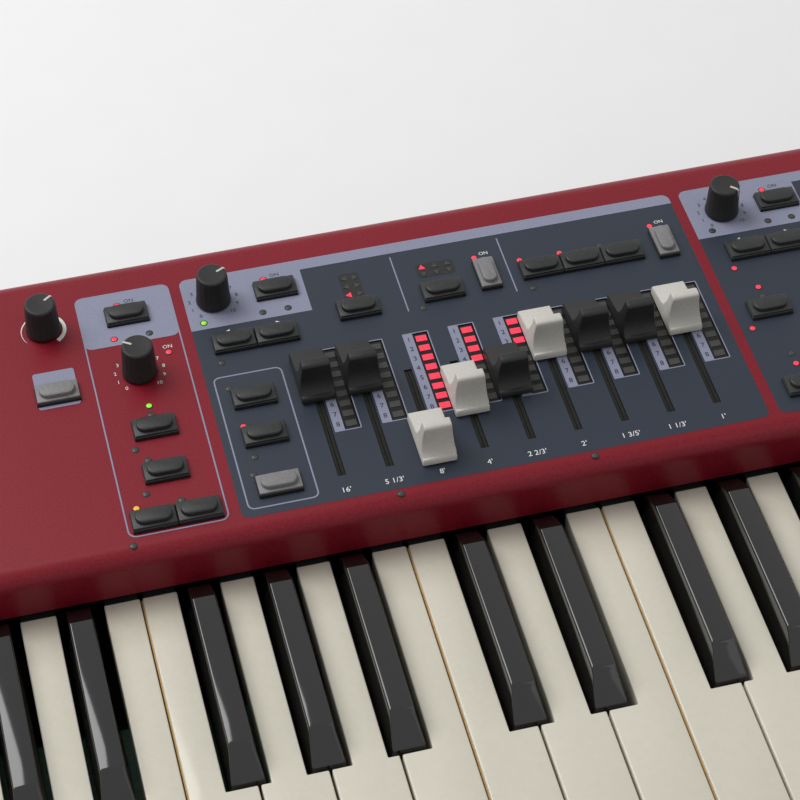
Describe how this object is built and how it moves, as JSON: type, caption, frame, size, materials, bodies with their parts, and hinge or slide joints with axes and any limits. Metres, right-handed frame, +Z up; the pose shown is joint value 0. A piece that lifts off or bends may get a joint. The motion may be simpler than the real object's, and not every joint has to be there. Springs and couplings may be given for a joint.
{
  "type": "stage keyboard",
  "caption": "Stage keyboard: red folded panel between end cheeks, piano keys in octave banks, sliding drawbars with lit ladders, knobs and push buttons in organ, piano and effect sections.",
  "frame": {"origin": "bottom centre, on the plane that the feet stand on", "axes": "+X along the keys from low to high, +Y from the player to the rear, +Z up"},
  "size_m": [0.9, 0.281, 0.1],
  "materials": {
    "panel_red": "fine speckled satin",
    "black_metal": "satin powder coat",
    "pan_steel": "matt powder coat",
    "circuit_board": "solder resist",
    "shield_tin": "satin",
    "black_plastic": "satin moulded",
    "white_plastic": "satin moulded",
    "grey_plastic": "satin moulded",
    "smoked_lens": "polished",
    "foot_rubber": "matt",
    "ivory_key": "polished warm white",
    "ebony_key": "polished"
  },
  "bodies": {
    "root": {"bottom_pan": "pan_steel", "top_panel": "panel_red", "left_cheek": "panel_red", "right_cheek": "panel_red", "front_rail": "panel_red", "rear_panel": "black_metal", "keybed_frame": "pan_steel", "key_contact_board": "circuit_board", "key_stop_rail": "pan_steel", "key_pivot_rail": "pan_steel", "control_board": "circuit_board", "main_board": "circuit_board", "power_supply": "shield_tin", "jack_bar": "black_plastic", "power_inlet": "black_plastic", "display_window": "smoked_lens", "ladder_lens": "smoked_lens", "foot_1": "foot_rubber", "foot_2": "foot_rubber", "foot_3": "foot_rubber", "foot_4": "foot_rubber"},
    "drawbar_1": {"drawbar_1": "black_plastic"},
    "drawbar_2": {"drawbar_2": "black_plastic"},
    "drawbar_3": {"drawbar_3": "white_plastic"},
    "drawbar_4": {"drawbar_4": "white_plastic"},
    "drawbar_5": {"drawbar_5": "black_plastic"},
    "drawbar_6": {"drawbar_6": "white_plastic"},
    "drawbar_7": {"drawbar_7": "black_plastic"},
    "drawbar_8": {"drawbar_8": "black_plastic"},
    "drawbar_9": {"drawbar_9": "white_plastic"},
    "master_knob": {"master_knob": "black_plastic"},
    "drive_knob": {"drive_knob": "black_plastic"},
    "organ_level_knob": {"organ_level_knob": "black_plastic"},
    "piano_level_knob": {"piano_level_knob": "black_plastic"},
    "program_dial": {"program_dial": "black_plastic"},
    "effect_knob_1": {"effect_knob_1": "black_plastic"},
    "effect_knob_2": {"effect_knob_2": "black_plastic"},
    "naturals_octave_1": {"naturals_octave_1": "ivory_key"},
    "sharps_octave_1": {"sharps_octave_1": "ebony_key"},
    "naturals_octave_2": {"naturals_octave_2": "ivory_key"},
    "sharps_octave_2": {"sharps_octave_2": "ebony_key"},
    "naturals_octave_3": {"naturals_octave_3": "ivory_key"},
    "sharps_octave_3": {"sharps_octave_3": "ebony_key"},
    "naturals_octave_4": {"naturals_octave_4": "ivory_key"},
    "sharps_octave_4": {"sharps_octave_4": "ebony_key"},
    "naturals_octave_5": {"naturals_octave_5": "ivory_key"},
    "sharps_octave_5": {"sharps_octave_5": "ebony_key"},
    "top_c_key": {"top_c_key": "ivory_key"},
    "label_button": {"label_button": "grey_plastic"},
    "rotary_buttons": {"rotary_buttons": "black_plastic"},
    "organ_buttons": {"organ_buttons": "black_plastic"},
    "preset_buttons": {"preset_buttons": "black_plastic"},
    "model_button": {"model_button": "black_plastic"},
    "vibrato_buttons": {"vibrato_buttons": "black_plastic"},
    "percussion_buttons": {"percussion_buttons": "black_plastic"},
    "piano_buttons": {"piano_buttons": "black_plastic"},
    "program_buttons": {"program_buttons": "black_plastic"},
    "effect_buttons": {"effect_buttons": "black_plastic"},
    "power_switch": {"power_switch": "black_plastic"}
  },
  "joints": [
    {"name": "drawbar_1_slide", "type": "slide", "parent": "root", "child": "drawbar_1", "axis": [0, -1, 0], "range_m": [0, 0.0382]},
    {"name": "drawbar_2_slide", "type": "slide", "parent": "root", "child": "drawbar_2", "axis": [0, -1, 0], "range_m": [0, 0.0382]},
    {"name": "drawbar_3_slide", "type": "slide", "parent": "root", "child": "drawbar_3", "axis": [0, -1, 0], "range_m": [-0.0382, 0]},
    {"name": "drawbar_4_slide", "type": "slide", "parent": "root", "child": "drawbar_4", "axis": [0, -1, 0], "range_m": [-0.0191, 0.0191]},
    {"name": "drawbar_5_slide", "type": "slide", "parent": "root", "child": "drawbar_5", "axis": [0, -1, 0], "range_m": [-0.01432, 0.02388]},
    {"name": "drawbar_6_slide", "type": "slide", "parent": "root", "child": "drawbar_6", "axis": [0, -1, 0], "range_m": [0, 0.0382]},
    {"name": "drawbar_7_slide", "type": "slide", "parent": "root", "child": "drawbar_7", "axis": [0, -1, 0], "range_m": [0, 0.0382]},
    {"name": "drawbar_8_slide", "type": "slide", "parent": "root", "child": "drawbar_8", "axis": [0, -1, 0], "range_m": [0, 0.0382]},
    {"name": "drawbar_9_slide", "type": "slide", "parent": "root", "child": "drawbar_9", "axis": [0, -1, 0], "range_m": [0, 0.0382]},
    {"name": "master_knob_turn", "type": "hinge", "parent": "root", "child": "master_knob", "pos_m": [-0.36729, 0.1114, 0.084], "axis": [0, 0, 1], "range_deg": [-84, 192]},
    {"name": "drive_knob_turn", "type": "hinge", "parent": "root", "child": "drive_knob", "pos_m": [-0.33689, 0.0825, 0.084], "axis": [0, 0, 1], "range_deg": [-194, 82]},
    {"name": "organ_level_knob_turn", "type": "hinge", "parent": "root", "child": "organ_level_knob", "pos_m": [-0.30419, 0.1109, 0.084], "axis": [0, 0, 1], "range_deg": [-73.5, 202.5]},
    {"name": "piano_level_knob_turn", "type": "hinge", "parent": "root", "child": "piano_level_knob", "pos_m": [-0.10679, 0.11, 0.084], "axis": [0, 0, 1], "range_deg": [-4, 272]},
    {"name": "program_dial_turn", "type": "hinge", "parent": "root", "child": "program_dial", "pos_m": [0.13571, 0.0955, 0.084], "axis": [0, 0, 1], "range_deg": [-138, 138]},
    {"name": "effect_knob_1_turn", "type": "hinge", "parent": "root", "child": "effect_knob_1", "pos_m": [0.21771, 0.1035, 0.084], "axis": [0, 0, 1], "range_deg": [-138, 138]},
    {"name": "effect_knob_2_turn", "type": "hinge", "parent": "root", "child": "effect_knob_2", "pos_m": [0.30571, 0.1035, 0.084], "axis": [0, 0, 1], "range_deg": [-138, 138]},
    {"name": "naturals_octave_1_press", "type": "hinge", "parent": "root", "child": "naturals_octave_1", "pos_m": [0, 0.0575, 0.047], "axis": [1, 0, 0], "range_deg": [0, 3], "stiffness_Nm_per_rad": 6, "springref_deg": -8.59},
    {"name": "sharps_octave_1_press", "type": "hinge", "parent": "root", "child": "sharps_octave_1", "pos_m": [0, 0.0575, 0.047], "axis": [1, 0, 0], "range_deg": [0, 3], "stiffness_Nm_per_rad": 3, "springref_deg": -8.59},
    {"name": "naturals_octave_2_press", "type": "hinge", "parent": "root", "child": "naturals_octave_2", "pos_m": [0, 0.0575, 0.047], "axis": [1, 0, 0], "range_deg": [0, 3], "stiffness_Nm_per_rad": 6, "springref_deg": -8.59},
    {"name": "sharps_octave_2_press", "type": "hinge", "parent": "root", "child": "sharps_octave_2", "pos_m": [0, 0.0575, 0.047], "axis": [1, 0, 0], "range_deg": [0, 3], "stiffness_Nm_per_rad": 3, "springref_deg": -8.59},
    {"name": "naturals_octave_3_press", "type": "hinge", "parent": "root", "child": "naturals_octave_3", "pos_m": [0, 0.0575, 0.047], "axis": [1, 0, 0], "range_deg": [0, 3], "stiffness_Nm_per_rad": 6, "springref_deg": -8.59},
    {"name": "sharps_octave_3_press", "type": "hinge", "parent": "root", "child": "sharps_octave_3", "pos_m": [0, 0.0575, 0.047], "axis": [1, 0, 0], "range_deg": [0, 3], "stiffness_Nm_per_rad": 3, "springref_deg": -8.59},
    {"name": "naturals_octave_4_press", "type": "hinge", "parent": "root", "child": "naturals_octave_4", "pos_m": [0, 0.0575, 0.047], "axis": [1, 0, 0], "range_deg": [0, 3], "stiffness_Nm_per_rad": 6, "springref_deg": -8.59},
    {"name": "sharps_octave_4_press", "type": "hinge", "parent": "root", "child": "sharps_octave_4", "pos_m": [0, 0.0575, 0.047], "axis": [1, 0, 0], "range_deg": [0, 3], "stiffness_Nm_per_rad": 3, "springref_deg": -8.59},
    {"name": "naturals_octave_5_press", "type": "hinge", "parent": "root", "child": "naturals_octave_5", "pos_m": [0, 0.0575, 0.047], "axis": [1, 0, 0], "range_deg": [0, 3], "stiffness_Nm_per_rad": 6, "springref_deg": -8.59},
    {"name": "sharps_octave_5_press", "type": "hinge", "parent": "root", "child": "sharps_octave_5", "pos_m": [0, 0.0575, 0.047], "axis": [1, 0, 0], "range_deg": [0, 3], "stiffness_Nm_per_rad": 3, "springref_deg": -8.59},
    {"name": "top_c_key_press", "type": "hinge", "parent": "root", "child": "top_c_key", "pos_m": [0, 0.0575, 0.047], "axis": [1, 0, 0], "range_deg": [0, 3], "stiffness_Nm_per_rad": 1, "springref_deg": -8.59},
    {"name": "label_button_press", "type": "slide", "parent": "root", "child": "label_button", "axis": [0, 0, -1], "range_m": [0, 0.001], "stiffness_N_per_m": 800, "springref_m": -0.001},
    {"name": "rotary_buttons_press", "type": "slide", "parent": "root", "child": "rotary_buttons", "axis": [0, 0, -1], "range_m": [0, 0.001], "stiffness_N_per_m": 800, "springref_m": -0.001},
    {"name": "organ_buttons_press", "type": "slide", "parent": "root", "child": "organ_buttons", "axis": [0, 0, -1], "range_m": [0, 0.001], "stiffness_N_per_m": 800, "springref_m": -0.001},
    {"name": "preset_buttons_press", "type": "slide", "parent": "root", "child": "preset_buttons", "axis": [0, 0, -1], "range_m": [0, 0.001], "stiffness_N_per_m": 800, "springref_m": -0.001},
    {"name": "model_button_press", "type": "slide", "parent": "root", "child": "model_button", "axis": [0, 0, -1], "range_m": [0, 0.001], "stiffness_N_per_m": 800, "springref_m": -0.001},
    {"name": "vibrato_buttons_press", "type": "slide", "parent": "root", "child": "vibrato_buttons", "axis": [0, 0, -1], "range_m": [0, 0.001], "stiffness_N_per_m": 800, "springref_m": -0.001},
    {"name": "percussion_buttons_press", "type": "slide", "parent": "root", "child": "percussion_buttons", "axis": [0, 0, -1], "range_m": [0, 0.001], "stiffness_N_per_m": 800, "springref_m": -0.001},
    {"name": "piano_buttons_press", "type": "slide", "parent": "root", "child": "piano_buttons", "axis": [0, 0, -1], "range_m": [0, 0.001], "stiffness_N_per_m": 800, "springref_m": -0.001},
    {"name": "program_buttons_press", "type": "slide", "parent": "root", "child": "program_buttons", "axis": [0, 0, -1], "range_m": [0, 0.001], "stiffness_N_per_m": 800, "springref_m": -0.001},
    {"name": "effect_buttons_press", "type": "slide", "parent": "root", "child": "effect_buttons", "axis": [0, 0, -1], "range_m": [0, 0.001], "stiffness_N_per_m": 800, "springref_m": -0.001},
    {"name": "power_switch_tilt", "type": "hinge", "parent": "root", "child": "power_switch", "pos_m": [0.285, 0.137, 0.03], "axis": [1, 0, 0], "range_deg": [0, 16]}
  ]
}
